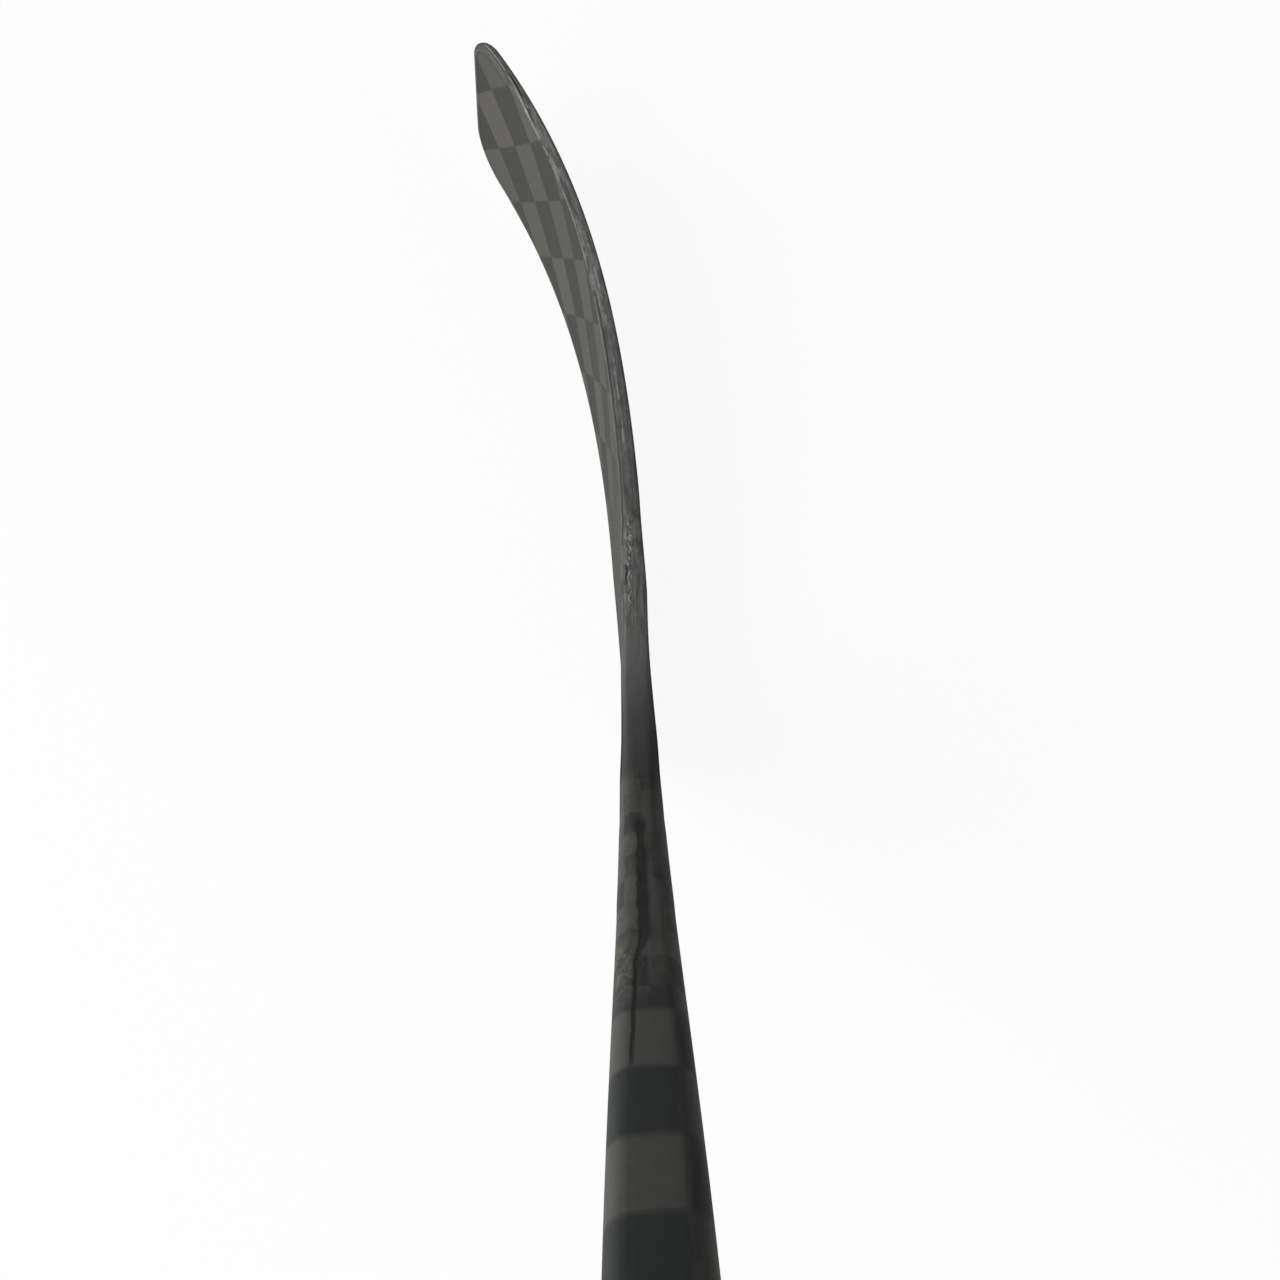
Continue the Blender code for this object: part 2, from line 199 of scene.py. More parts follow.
# Changes along the edge map, as two places and the values at them: the heel's shade away from its
# middle, the neck's own bare tone, and the groove's width. The crest only has its two places.
HEEL_MIDDLE = 0.5
HEEL_SHADE = (2.5, 5.0, 0.76, 1.0)
NECK_FADE = (-2.6, 0.2, 0.75, 0.0)
GROOVE_WIDTH = (6.0, 9.0, 0.048, 0.055)
CREST_START = (4.6, 5.6)

# Lines across the edge map, as middle and width
FLAKE_LINE = (0.22, 0.20)
SLIT_LINE = (0.16, 0.06)
LIP_LINE = (-0.035, 0.055)
CREST_LINE = (0.22, 0.05)
NECK_LIP_LINE = (0.14, 0.06)
RAIL_JOINT_LINE = (-0.22, 0.035)

# Across the edge map: where the bare band starts, how far it moves at the toe, and its wander
BAND_START = (-0.02, 0.05)
TOE_MOVE = 0.17
EDGE_WANDER = 0.10

# The resin run on the shaft's map: its stretch, the changes of its middle and width, its slant,
# its wander, the middle and width of its waist, and the width of its rim
RUN_SPAN = (1.11, 2.295, 0.04)
RUN_MIDDLE = (1.76, 1.90, 0.004, 0.026)
RUN_WIDTH = (1.74, 1.90, 0.021, 0.0062)
RUN_SLANT = (1.9, 2.3, 0.0, 0.014)
RUN_WANDER = 0.010
RUN_WAIST = (1.25, 0.09)
RUN_RIM_WIDTH = 0.005

# The rusty patch on the shaft's map: its stretch, and where it starts on the forehand side
RUST_SPAN = (1.80, 2.11, 0.06)
RUST_SIDE = (0.015, 0.05)

# Colours, in linear light
WHITE = (1.0, 1.0, 1.0, 1.0)
BLADE_DARK = (0.0370, 0.0370, 0.0325, 1.0)
BLADE_BRIGHT = (0.0670, 0.0685, 0.0615, 1.0)
BLADE_WARM = (0.0740, 0.0708, 0.0625, 1.0)
BLADE_PLAIN = (0.0535, 0.0530, 0.0470, 1.0)
HEEL_PLAIN = (0.0595, 0.0590, 0.0527, 1.0)
GROOVE_DARK = (0.012, 0.012, 0.012, 1.0)
LIP_LIGHT = (0.28, 0.28, 0.27, 1.0)
RAIL_JOINT = (0.17, 0.17, 0.16, 1.0)
RESIN_DARK = (0.066, 0.067, 0.065, 1.0)
RESIN_WORN = (0.190, 0.189, 0.180, 1.0)
RESIN_FLAKE = (0.36, 0.36, 0.35, 1.0)
RESIN_SLIT = (0.010, 0.010, 0.010, 1.0)
SHAFT_DARK = (0.0288, 0.0322, 0.0312, 1.0)
SHAFT_BRIGHT = (0.0690, 0.0695, 0.0625, 1.0)
RUN_DARK = (0.010, 0.0115, 0.0115, 1.0)
RUN_RIM = (0.006, 0.006, 0.006, 1.0)
PLY_DARK = (0.0275, 0.030, 0.029, 1.0)
PLY_BRIGHT = (0.090, 0.087, 0.078, 1.0)
PLY_FLECK = (0.130, 0.118, 0.098, 1.0)
PLY_RUST = (0.163, 0.145, 0.124, 1.0)
NECK_TOP = (0.050, 0.051, 0.050, 1.0)
# Painted shade: the neck's flanks, far darker than the same carbon on its front
NECK_SIDE_PAINTED_SHADE = (0.011, 0.0115, 0.011, 1.0)
NECK_BARE = (0.108, 0.108, 0.105, 1.0)
NECK_LIP = (0.24, 0.24, 0.23, 1.0)
RIB_CARBON = (0.05, 0.05, 0.048, 1.0)
PLUG_BLACK = (0.022, 0.022, 0.023, 1.0)
FOAM_LIGHT = (0.80, 0.74, 0.58, 1.0)
FOAM_DARK = (0.62, 0.55, 0.40, 1.0)

# Strength of the fine relief, the width of a tape's edge in whole checks, and the steps that give
# each cell of a grid a number of its own
RELIEF = 0.5
TAPE_EDGE = 0.03
COLUMN_STEP = 17.13
ROW_STEP = 41.71

# The floor, in metres: its gap below the sole, place, size and outline, its colours for the light
# and for the camera, and its change to white, as two distances and the white share at each
FLOOR_GAP = 0.0003
FLOOR_X = 1.0
FLOOR_RADIUS = 6.0
FLOOR_SEGMENTS = 96
FLOOR_ROUGHNESS = 0.9
FLOOR_LIT = (0.42, 0.42, 0.42, 1.0)
FLOOR_SEEN = (0.85, 0.85, 0.85, 1.0)
FLOOR_FADE = (0.5, 1.7, 0.92, 1.0)

# How much of the white floor and of the white backdrop a glossy reflection shows
FLOOR_MIRRORED = 0.05
WORLD_MIRRORED = 0.03

# Light of the backdrop, and the lamps: name, place and aim in metres from a point on the blade
# near the heel, size in metres and power in watts
WORLD_LIGHT = (0.20, 0.20, 0.205, 1.0)
LAMP_CENTRE = (60.0, 0.0, 40.0)
LAMPS = (
    ("key", (-1.4, 1.3, 1.75), (0.0, 0.0, 0.0), 1.4, 44.0),
    ("side", (0.2, 1.5, 0.2), (-0.1, 0.0, 0.1), 0.9, 24.5),
    ("fill", (-1.65, -1.32, 0.62), (-0.3, 0.0, 0.3), 1.0, 13.0),
)

# The camera at the photo's angle: its place in metres, its turn in degrees, its lens and sensor
# in millimetres, and the nearest distance that it sees, in metres
CAMERA_PLACE = (0.784004, -0.002472, -0.555668)
CAMERA_TURN = (26.0771, 1.4162, -92.8315)
CAMERA_LENS = 40.712
CAMERA_SENSOR = 36.0
CAMERA_NEAR = 0.01

COS_LIE = math.cos(LIE_ANGLE)
SIN_LIE = math.sin(LIE_ANGLE)
TOP_ANGLE = math.atan(TOP_RISE)


def smooth(t):
    t = min(1.0, max(0.0, t))
    return t * t * (3.0 - 2.0 * t)


def mix(first, last, share):
    return first * (1 - share) + last * share


def spread(first, last, count):
    return [first + (last - first) * step / (count - 1) for step in range(count)]


def travel(points):
    """Distance along a line of points, at each of them."""
    reach = [0.0]
    for a, b in zip(points, points[1:]):
        reach.append(reach[-1] + math.dist(a[:2], b[:2]))
    return reach


def shaft_point(along, across):
    return (-along * COS_LIE + across * SIN_LIE, along * SIN_LIE + across * COS_LIE)


def taper(along):
    return smooth((along - TAPER_START) / (TAPER_END - TAPER_START))


def shaft_width(along):
    return NECK_WIDTH + (SHAFT_WIDTH - NECK_WIDTH) * taper(along)


def shaft_height(along):
    return NECK_HEIGHT + (SHAFT_HEIGHT - NECK_HEIGHT) * taper(along)


def shaft_radius(along):
    return min(CORNER_RADIUS, CORNER_SHARE * shaft_width(along))


def top_line(x):
    return TOP_HEIGHT + TOP_RISE * x


def sole_line(x):
    return max(0.0, x - ROCKER_START) ** 2 / (2.0 * ROCKER_RADIUS)


def sole_slope(x):
    return max(0.0, x - ROCKER_START) / ROCKER_RADIUS


def swell(x):
    return smooth((SWELL_FROM - x) / SWELL_RUN)


def thickness(x):
    t = min(1.0, max(0.0, x / TOE))
    return TOE_THICKNESS + (HEEL_THICKNESS - TOE_THICKNESS) * (1.0 - t) ** 2 + HEEL_SWELL * swell(x)


def edge_radius(x):
    return EDGE_RADIUS + (NOSE_RADIUS - EDGE_RADIUS) * smooth((x - TOE + NOSE_RUN) / NOSE_RUN)


def centre_line(x):
    t = max(0.0, x - CURVE_START) / (TOE - CURVE_START)
    return CURVE_OFFSET * t ** CURVE_POWER


def centre_slope(x):
    t = max(0.0, x - CURVE_START) / (TOE - CURVE_START)
    return CURVE_OFFSET * CURVE_POWER * t ** (CURVE_POWER - 1.0) / (TOE - CURVE_START)


def ridge(x, z):
    """Thickness added on the forehand side, none at the ice and most at the top edge."""
    rise = smooth((x - HOSEL_END) / RIDGE_RUN)
    fade = 1.0 - smooth((x - RIDGE_FADE) / FADE_RUN)
    return RIDGE * rise * fade * max(0.0, z) / TOP_HEIGHT


def place(x, z, off):
    """Bend a flat blade point and its offset from the mid-plane into space."""
    off += ridge(x, z) * (0.5 + off / thickness(x))
    rake = TOE_RAKE * smooth((x - TOE + RAKE_RUN) / RAKE_RUN)
    lean = LOFT * smooth((x - LOFT_START) / LOFT_RUN)
    drop = TWIST_HEIGHT - z
    stretch = math.sqrt(1.0 + centre_slope(x) ** 2)
    shift = HEEL_SHIFT * swell(x) * smooth((x - SHIFT_FROM) / SHIFT_RUN)
    return (x + rake * drop, centre_line(x) + lean * drop - shift + off * stretch, z)


TOP_CORNER_X = (NECK_HEIGHT / 2 - TOP_HEIGHT * COS_LIE) / (SIN_LIE + TOP_RISE * COS_LIE)
TOP_CORNER = (TOP_CORNER_X, top_line(TOP_CORNER_X))
HEEL_CORNER = (-NECK_HEIGHT / 2 / SIN_LIE, 0.0)
NECK_ALONG = -TOP_CORNER[0] * COS_LIE + TOP_CORNER[1] * SIN_LIE + TOP_FILLET
JOINT_ALONG = NECK_ALONG + JOINT_ABOVE_NECK
GRIP = shaft_point(SHAFT_LENGTH - GRIP_FROM_BUTT, 0.0)


def to_world(point):
    return ((point[0] - GRIP[0]) * MM, point[1] * MM, (point[2] - GRIP[1]) * MM)


def section(length, width, radius, crown):
    """Closed rounded section from the middle of its lower side, round and back again.

    Each point is its distance along the length, its offset across it, and its distance
    round the section from the middle of the upper side, positive on the forehand side.
    """
    half = width / 2 - radius
    angles = spread(0.0, math.pi / 2, CORNER_STEPS + 1)
    side = [(0.0, 0.0)]
    for angle in angles:
        side.append((radius - radius * math.cos(angle), half + radius * math.sin(angle)))
    for share in SIDE_SHARES:
        side.append((radius + (length - 2 * radius) * share, half + radius))
    for angle in angles:
        side.append((length - radius + radius * math.sin(angle), half + radius * math.cos(angle)))
    side.append((length, half / 2))
    side.append((length, 0.0))
    for index, (along, off) in enumerate(side):
        fall = crown * (2 * off / width) ** 2
        side[index] = (along + fall if 2 * along < length else along - fall, off)
    reach = travel(side)
    whole = [(a, b, reach[-1] - r) for (a, b), r in zip(side, reach)]
    return whole + [(a, -b, -r) for a, b, r in reversed(whole[:-1])]


def between(low, high, width, radius, crown):
    """Row of points of a section on the line from low to high, and their girths."""
    length = math.dist(low, high)
    ux = (high[0] - low[0]) / length
    uz = (high[1] - low[1]) / length
    row = []
    girths = []
    for along, off, girth in section(length, width, radius, crown):
        row.append(place(low[0] + along * ux, low[1] + along * uz, off))
        girths.append(girth)
    return row, girths


def shaft_section(along, inset):
    """Ends, width, corner radius and crown of the shaft's section, or of one set in from it."""
    half = shaft_height(along) / 2 - inset
    radius = max(INNER_RADIUS, shaft_radius(along) - inset)
    width = shaft_width(along) - 2 * inset
    return shaft_point(along, -half), shaft_point(along, half), width, radius, SHAFT_CROWN


def resample(points, count):
    """Points at even distances along a line of points."""
    reach = travel(points)
    result = []
    index = 0
    for target in spread(0.0, reach[-1], count):
        while index < len(points) - 2 and reach[index + 1] < target:
            index += 1
        share = (target - reach[index]) / (reach[index + 1] - reach[index])
        a = points[index]
        b = points[index + 1]
        result.append((a[0] + (b[0] - a[0]) * share, a[1] + (b[1] - a[1]) * share))
    return result


def bend(start, corner, end):
    """Smooth turn from start to end, drawn towards a corner."""
    points = []
    for t in spread(0.0, 1.0, BEND_STEPS + 1):
        weights = ((1 - t) ** 2, 2 * t * (1 - t), t * t)
        stops = list(zip(weights, (start, corner, end)))
        points.append(tuple(sum(weight * stop[axis] for weight, stop in stops) for axis in (0, 1)))
    return points


def fan_sections():
    """Sections that turn from the straight neck into the blade."""
    half = shaft_height(NECK_ALONG) / 2
    high_end = TOP_CORNER[0] + TOP_FILLET
    high = bend(shaft_point(NECK_ALONG, half), TOP_CORNER, (high_end, top_line(high_end)))
    high.append((HOSEL_END, top_line(HOSEL_END)))
    low_start = (HEEL_CORNER[0] - HEEL_ROUND * COS_LIE, HEEL_ROUND * SIN_LIE)
    low = [shaft_point(NECK_ALONG, -half)]
    low += bend(low_start, HEEL_CORNER, (HEEL_CORNER[0] + HEEL_ROUND, 0.0))
    low.append((HOSEL_END, 0.0))
    ends = zip(resample(low, FAN_STATIONS), resample(high, FAN_STATIONS))
    sections = []
    for (bottom, top), t in zip(ends, spread(0.0, 1.0, FAN_STATIONS)):
        share = smooth(t)
        width = mix(shaft_width(NECK_ALONG), thickness(HOSEL_END), share)
        radius = mix(shaft_radius(NECK_ALONG), EDGE_RADIUS, share)
        sections.append((bottom, top, width, radius, mix(SHAFT_CROWN, EDGE_CROWN, share)))
    return sections


def top_arc():
    """Centre of the toe's upper rounding, and the angle at which the top edge meets it."""
    x = TOE - TOE_TOP_RADIUS
    return x, top_line(x) - TOE_TOP_RADIUS / math.cos(TOP_ANGLE), math.pi / 2 + TOP_ANGLE


def low_arc():
    """Centre of the toe's lower rounding, and the angle at which the sole meets it."""
    x = TOE - TOE_LOW_RADIUS
    for _ in range(SLOPE_ROUNDS):
        slope = sole_slope(x)
        x = TOE - TOE_LOW_RADIUS + TOE_LOW_RADIUS * slope / math.hypot(1.0, slope)
    slope = sole_slope(x)
    centre_z = sole_line(x) + TOE_LOW_RADIUS / math.hypot(1.0, slope)
    return TOE - TOE_LOW_RADIUS, centre_z, math.atan(slope) - math.pi / 2


def arc_path(centre_x, centre_z, radius, start, end, steps):
    """Points on an arc, each with its direction into the blade."""
    path = []
    for angle in spread(start, end, steps + 1):
        nx = math.cos(angle)
        nz = math.sin(angle)
        path.append((centre_x + radius * nx, centre_z + radius * nz, -nx, -nz))
    return path


def top_path():
    centre_x, centre_z, start = top_arc()
    last = centre_x + TOE_TOP_RADIUS * math.cos(start)
    path = []
    for x in spread(HOSEL_END + SEAM, last, RAIL_STATIONS)[:-1]:
        path.append((x, top_line(x), math.sin(TOP_ANGLE), -math.cos(TOP_ANGLE)))
    return path + arc_path(centre_x, centre_z, TOE_TOP_RADIUS, start, 0.0, TOP_ARC_STEPS)


def toe_path():
    heights = spread(top_arc()[1] - SEAM, low_arc()[1] + SEAM, TOE_STATIONS)
    return [(TOE, z, -1.0, 0.0) for z in heights]


def sole_path():
    centre_x, centre_z, end = low_arc()
    path = arc_path(centre_x, centre_z, TOE_LOW_RADIUS, 0.0, end, LOW_ARC_STEPS)
    for x in spread(path[-1][0], HOSEL_END + SEAM, RAIL_STATIONS)[1:]:
        slope = sole_slope(x)
        size = math.hypot(1.0, slope)
        path.append((x, sole_line(x), -slope / size, 1.0 / size))
    return path


def panel_top(x):
    centre_x, centre_z, start = top_arc()
    inset = RIM + SEAM
    radius = TOE_TOP_RADIUS - inset
    if x > centre_x + radius * math.cos(start):
        return centre_z + math.sqrt(max(0.0, radius ** 2 - (x - centre_x) ** 2))
    return top_line(x) - inset / math.cos(TOP_ANGLE)


def panel_bottom(x):
    centre_x, centre_z, end = low_arc()
    inset = RIM + SEAM
    radius = TOE_LOW_RADIUS - inset
    if x > centre_x + radius * math.cos(end):
        return centre_z - math.sqrt(max(0.0, radius ** 2 - (x - centre_x) ** 2))
    return sole_line(x) + inset * math.hypot(1.0, sole_slope(x))


def blade_checks(x, z):
    """Position in the blade's checks, in whole checks."""
    along = x * math.cos(CROSS_TURN) - z * math.sin(CROSS_TURN)
    across = x * math.sin(CHECK_TURN) + z * math.cos(CHECK_TURN)
    return ((CROSS_ALONG - along) / CROSS_CHECK, (CHECK_ACROSS - across) / CHECK)


def shaft_checks(along, girth):
    """Position in the shaft's checks, in whole checks."""
    return ((along - SHAFT_CHECK_START) / CHECK + 1.0, (girth + SHAFT_CHECK_SIDE) / CHECK)


def plainness(x):
    """1 on the blade near the heel, where no checks show, and 0 where they do."""
    return 1.0 - smooth((x - CHECKS_FROM) / CHECKS_RUN)


def make_piece(name, node, look, rows, maps, marks, loop=False):
    """Skin rows of points into one piece, with its maps and marks, in place of a node.

    Each row ends where it began. With loop, the last row meets the first.
    """
    count = len(rows[0])
    points = [to_world(point) for row in rows for point in row]
    faces = []
    last = len(rows) if loop else len(rows) - 1
    for i in range(last):
        j = (i + 1) % len(rows)
        for k in range(count - 1):
            faces.append((i * count + k, i * count + k + 1, j * count + k + 1, j * count + k))
    if not loop:
        faces.append(tuple(range(count - 1)))
        faces.append(tuple((len(rows) - 1) * count + k for k in reversed(range(count - 1))))
    mesh = bpy.data.meshes.new(name)
    mesh.from_pydata(points, [], faces)
    for title, values in maps.items():
        layer = mesh.uv_layers.new(name=title)
        flat = [value for row in values for value in row]
        for corner in mesh.loops:
            layer.data[corner.index].uv = flat[corner.vertex_index]
    for title, values in marks.items():
        layer = mesh.attributes.new(title, "FLOAT", "POINT")
        layer.data.foreach_set("value", [value for row in values for value in row])
    shape = bmesh.new()
    shape.from_mesh(mesh)
    bmesh.ops.remove_doubles(shape, verts=shape.verts, dist=SAME_POINT)
    bmesh.ops.recalc_face_normals(shape, faces=shape.faces)
    shape.to_mesh(mesh)
    shape.free()
    mesh.shade_smooth()
    mesh.set_sharp_from_angle(angle=SHARP_ANGLE)
    mesh.materials.append(look)
    piece = bpy.data.objects.new(name, mesh)
    bpy.context.scene.collection.objects.link(piece)
    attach(piece, "root")
    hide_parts(node)


class Nodes:
    """Small helper that adds nodes to a tree. A value is a number, a colour or a node's output."""

    def __init__(self, tree):
        self.tree = tree

    def put(self, kind, sockets=None, **settings):
        node = self.tree.nodes.new(kind)
        for key, value in settings.items():
            setattr(node, key, value)
        for key, value in (sockets or {}).items():
            self.feed(node.inputs[key], value)
        return node

    def feed(self, socket, value):
        if isinstance(value, bpy.types.NodeSocket):
            self.tree.links.new(value, socket)
        else:
            socket.default_value = value

    def calc(self, operation, a, b=0.0, c=0.0):
        return self.put("ShaderNodeMath", {0: a, 1: b, 2: c}, operation=operation).outputs[0]

    def plus(self, a, b):
        return self.calc("ADD", a, b)

    def minus(self, a, b):
        return self.calc("SUBTRACT", a, b)

    def times(self, a, b):
        return self.calc("MULTIPLY", a, b)

    def most(self, a, b):
        return self.calc("MAXIMUM", a, b)

    def least(self, a, b):
        return self.calc("MINIMUM", a, b)

    def gap(self, a, b):
        return self.calc("ABSOLUTE", self.minus(a, b))

    def centred(self, noise):
        """Noise about 0 instead of about one half."""
        return self.minus(noise, 0.5)

    def total(self, base, *parts):
        """The base plus each part's value times its weight."""
        for value, weight in parts:
            base = self.calc("MULTIPLY_ADD", value, weight, base)
        return base

    def blend(self, share, a, b):
        """Number a where share is 0 and number b where it is 1."""
        return self.put("ShaderNodeMix", {0: share, 2: a, 3: b}, data_type="FLOAT").outputs[0]

    def tint(self, share, a, b, kind="MIX"):
        """Colour a where share is 0 and colour b where it is 1."""
        node = self.put("ShaderNodeMix", {0: share, 6: a, 7: b}, data_type="RGBA", blend_type=kind)
        return node.outputs[2]

    def shaded(self, colour, level):
        """The colour times a level."""
        grey = self.put("ShaderNodeCombineColor", {0: level, 1: level, 2: level}).outputs[0]
        return self.tint(1.0, colour, grey, "MULTIPLY")

    def step(self, value, low, high, first=0.0, last=1.0):
        """Smooth change from first to last as value goes from low to high."""
        sockets = {0: value, 1: low, 2: high, 3: first, 4: last}
        return self.put("ShaderNodeMapRange", sockets, interpolation_type="SMOOTHSTEP").outputs[0]

    def line(self, across, middle, width):
        """1 on a thin line, 0 away from it."""
        return self.step(self.gap(across, middle), 0.0, width, 1.0, 0.0)

    def window(self, value, start, end, soft):
        """1 between start and end, 0 outside, with soft ends."""
        rise = self.step(value, start - soft, start + soft)
        return self.times(rise, self.step(value, end - soft, end + soft, 1.0, 0.0))

    def spot(self):
        """Place in the object's own frame, in metres."""
        return self.put("ShaderNodeTexCoord").outputs["Object"]

    def map(self, title):
        """The two numbers of a map."""
        vector = self.put("ShaderNodeUVMap", uv_map=title).outputs[0]
        split = self.put("ShaderNodeSeparateXYZ", {0: vector})
        return split.outputs[0], split.outputs[1]

    def mark(self, title):
        """A number that the mesh holds for each of its points."""
        return self.put("ShaderNodeAttribute", attribute_name=title).outputs["Fac"]

    def noise(self, spot, scale, detail=2.0, rough=0.5):
        """Noise at a spot, which is a vector or three values, with a scale for each of its axes.

        On a flat map the values that are plain numbers only choose another pattern.
        """
        if not isinstance(spot, bpy.types.NodeSocket):
            spot = self.put("ShaderNodeCombineXYZ", dict(enumerate(spot))).outputs[0]
        vector = self.put("ShaderNodeVectorMath", {0: spot, 1: scale}, operation="MULTIPLY").outputs[0]
        sockets = {"Vector": vector, "Scale": 1.0, "Detail": detail, "Roughness": rough}
        return self.put("ShaderNodeTexNoise", sockets).outputs[0]


class Look(Nodes):
    """A material and the helper for its nodes."""

    def __init__(self, name):
        self.material = bpy.data.materials.new(name)
        self.material.use_nodes = True
        super().__init__(self.material.node_tree)
        self.shader = self.tree.nodes["Principled BSDF"]

    def finish(self, colour, roughness, height, depth, specular):
        """Feed the shader, with fine relief as deep as the height times a depth in metres."""
        bump = self.put("ShaderNodeBump", {"Strength": RELIEF, "Distance": depth, "Height": height})
        self.feed(self.shader.inputs["Base Color"], colour)
        self.feed(self.shader.inputs["Roughness"], roughness)
        self.feed(self.shader.inputs["Normal"], bump.outputs[0])
        self.shader.inputs["Specular IOR Level"].default_value = specular
        return self.material


def cell_shade(look, column, row):
    """A number for each cell of a grid, and a random shade that goes with it."""
    cell = look.plus(look.times(column, COLUMN_STEP), look.times(row, ROW_STEP))
    return cell, look.put("ShaderNodeTexWhiteNoise", {"W": cell}, noise_dimensions="1D").outputs[0]


def check_nodes(look, warp, soft):
    """Checks of flat carbon tape: their lay, fibre streaks, shade and tape edges.

    Warp says how much the tapes wander and soft how far their edges blur, both in whole checks.
    """
    u, v = look.map("checks")
    drift = look.noise((u, v, 3.0), (1.7, 1.7, 1.0), detail=3.0)
    shift = look.noise((u, v, 31.0), (1.7, 1.7, 1.0), detail=3.0)
    u = look.total(u, (look.centred(drift), warp))
    v = look.total(v, (look.centred(shift), warp))
    column = look.calc("FLOOR", u)
    row = look.calc("FLOOR", v)
    part_u = look.minus(u, column)
    part_v = look.minus(v, row)
    cell, shade = cell_shade(look, column, row)
    lay = look.calc("FLOORED_MODULO", look.plus(column, row), 2.0)
    across = look.blend(lay, part_v, part_u)
    along = look.blend(lay, part_u, part_v)
    streak = look.noise((across, along, cell), (38.0, 1.4, 1.0), detail=3.0, rough=0.6)
    edge_u = look.least(part_u, look.minus(1.0, part_u))
    edge_v = look.least(part_v, look.minus(1.0, part_v))
    nearest = look.least(edge_u, edge_v)
    edge = look.step(nearest, 0.0, TAPE_EDGE, 1.0, 0.0)
    blur = look.step(nearest, 0.0, soft, 0.5, 0.0)
    return look.blend(blur, lay, look.minus(1.0, lay)), streak, shade, edge


def resin(look, path, across):
    """Streaky, worn resin on the bare edges: its colour, roughness and height."""
    blotch = look.noise((path, across, 2.0), (1.6, 5.0, 1.0), detail=4.0, rough=0.65)
    stripe = look.noise((path, across, 9.0), (0.35, 24.0, 1.0), detail=3.0, rough=0.6)
    worn = look.step(look.total(0.0, (blotch, 0.55), (stripe, 0.45)), 0.38, 0.64)
    worn = look.times(worn, look.total(1.0, (look.window(path, *CALM_SPAN), -0.45)))
    colour = look.tint(worn, RESIN_DARK, RESIN_WORN)
    colour = look.shaded(colour, look.step(look.gap(path, HEEL_MIDDLE), *HEEL_SHADE))
    speck = look.noise((path, across, 5.0), (4.5, 13.0, 1.0), detail=3.0, rough=0.7)
    near = look.times(look.window(path, *FLAKE_SPAN), look.line(across, *FLAKE_LINE))
    flake = look.times(near, look.step(speck, 0.52, 0.60))
    slit = look.times(look.window(path, *SLIT_SPAN), look.line(across, *SLIT_LINE))
    colour = look.tint(look.times(flake, 0.8), colour, RESIN_FLAKE)
    colour = look.tint(look.times(slit, 0.9), colour, RESIN_SLIT)
    roughness = look.total(0.42, (blotch, 0.25))
    return colour, roughness, look.minus(look.plus(worn, flake), slit)


def seam_lines(look, path, across):
    """Broken light lines beside the corner of face and edge, and the dark groove between them."""
    broken = look.noise((path, 5.0, 1.0), (1.5, 1.0, 1.0), detail=4.0, rough=0.65)
    filled = look.noise((path, 11.0, 4.0), (0.6, 1.0, 1.0), detail=4.0, rough=0.6)
    chips = look.noise((path, across, 7.0), (1.3, 6.0, 1.0), detail=4.0, rough=0.65)
    full = look.window(path, *GROOVE_SPAN)
    width = look.step(path, *GROOVE_WIDTH)
    gap = look.gap(across, look.times(width, 0.8))
    groove = look.step(gap, look.times(width, 0.3), width, 1.0, 0.0)
    groove = look.times(groove, look.most(full, look.step(filled, 0.46, 0.56, 0.9, 0.0)))
    whole = look.most(look.times(full, 0.8), look.step(broken, 0.40, 0.50, 0.1, 1.0))
    lip = look.times(look.line(across, *LIP_LINE), whole)
    crest = look.times(look.line(across, *CREST_LINE), look.step(chips, 0.46, 0.60))
    crest = look.times(crest, look.step(path, *CREST_START))
    return look.most(lip, crest), groove


def plies(look, along, girth):
    """Patchy overlapping plies round the joint: their colour."""
    drift = look.noise((along, girth, 4.0), (9.0, 18.0, 1.0), detail=4.0, rough=0.65)
    wander = look.centred(drift)
    column = look.calc("FLOOR", look.total(look.times(along, 7.5), (wander, 0.7)))
    row = look.calc("FLOOR", look.total(look.times(girth, 19.0), (wander, 0.8)))
    patch = cell_shade(look, column, row)[1]
    streak = look.noise((along, girth, 6.0), (4.0, 46.0, 1.0), detail=3.0, rough=0.6)
    level = look.total(0.0, (patch, 0.26), (streak, 0.40), (drift, 0.45))
    colour = look.tint(look.step(level, 0.36, 0.74), PLY_DARK, PLY_BRIGHT)
    fleck = look.noise((along, girth, 8.0), (40.0, 60.0, 1.0), detail=3.0, rough=0.7)
    colour = look.tint(look.step(fleck, 0.60, 0.72, 0.0, 0.5), colour, PLY_FLECK)
    rust = look.times(look.window(along, *RUST_SPAN), look.step(girth, *RUST_SIDE))
    rust = look.times(rust, look.step(look.total(fleck, (drift, 0.5)), 0.62, 0.98))
    return look.tint(look.times(rust, 0.80), colour, PLY_RUST)


def run_mark(look, along, girth):
    """Dark resin run down the front of the joint: how much of it shows, and its rim."""
    wander = look.noise((along, 2.0, 6.0), (14.0, 1.0, 1.0), detail=3.0, rough=0.6)
    slant = look.put("ShaderNodeMapRange", dict(enumerate((along, *RUN_SLANT)))).outputs[0]
    middle = look.plus(look.step(along, *RUN_MIDDLE), slant)
    middle = look.total(middle, (look.centred(wander), RUN_WANDER))
    width = look.times(look.step(along, *RUN_WIDTH), look.total(0.45, (wander, 1.1)))
    width = look.times(width, look.total(1.0, (look.line(along, *RUN_WAIST), -0.5)))
    ends = look.window(along, *RUN_SPAN)
    run = look.step(look.gap(girth, middle), look.times(width, 0.4), width, 1.0, 0.0)
    rim = look.line(look.minus(girth, middle), look.times(width, 0.6), RUN_RIM_WIDTH)
    return look.times(run, ends), look.times(rim, ends)


